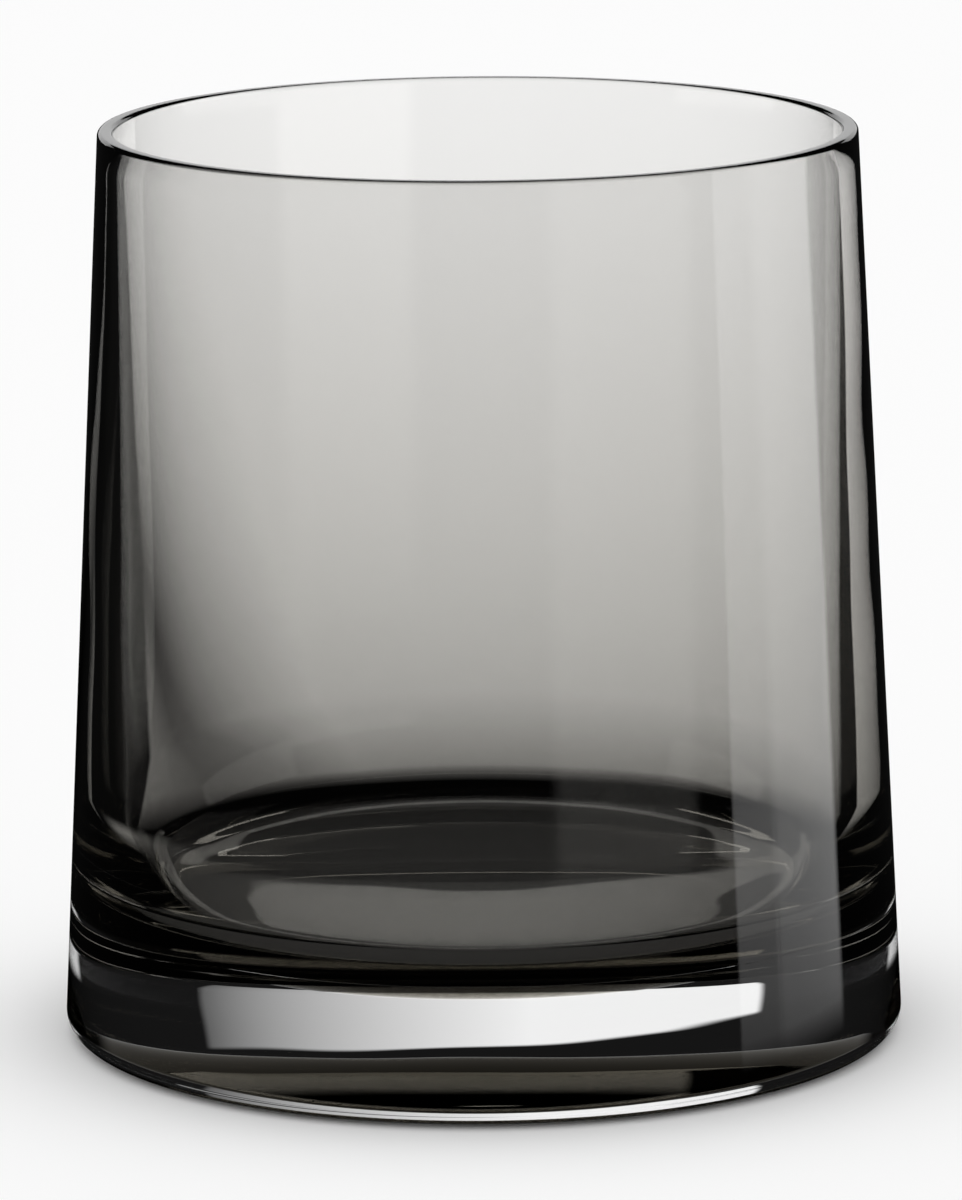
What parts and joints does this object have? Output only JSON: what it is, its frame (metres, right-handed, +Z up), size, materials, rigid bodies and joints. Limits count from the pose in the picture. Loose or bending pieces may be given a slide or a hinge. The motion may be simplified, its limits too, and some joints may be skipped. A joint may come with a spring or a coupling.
{
  "type": "whiskey tumbler",
  "caption": "Low flared drinking glass: a smoke-grey tinted cup with a wall that thickens downwards, fused to a thick clear base with a rounded foot.",
  "frame": {"origin": "centre of the foot, on the plane the tumbler rests on", "axes": "+Z up along the axis of the glass, out of its mouth; +X and +Y are alike, and a viewer in front looks along +Y"},
  "size_m": [0.0878, 0.0878, 0.095],
  "materials": {
    "smoke_glass": "polished smoke-grey tinted glass",
    "clear_glass": "polished clear colourless glass"
  },
  "bodies": {
    "root": {"smoke_cup": "smoke_glass", "clear_base": "clear_glass"}
  },
  "joints": []
}
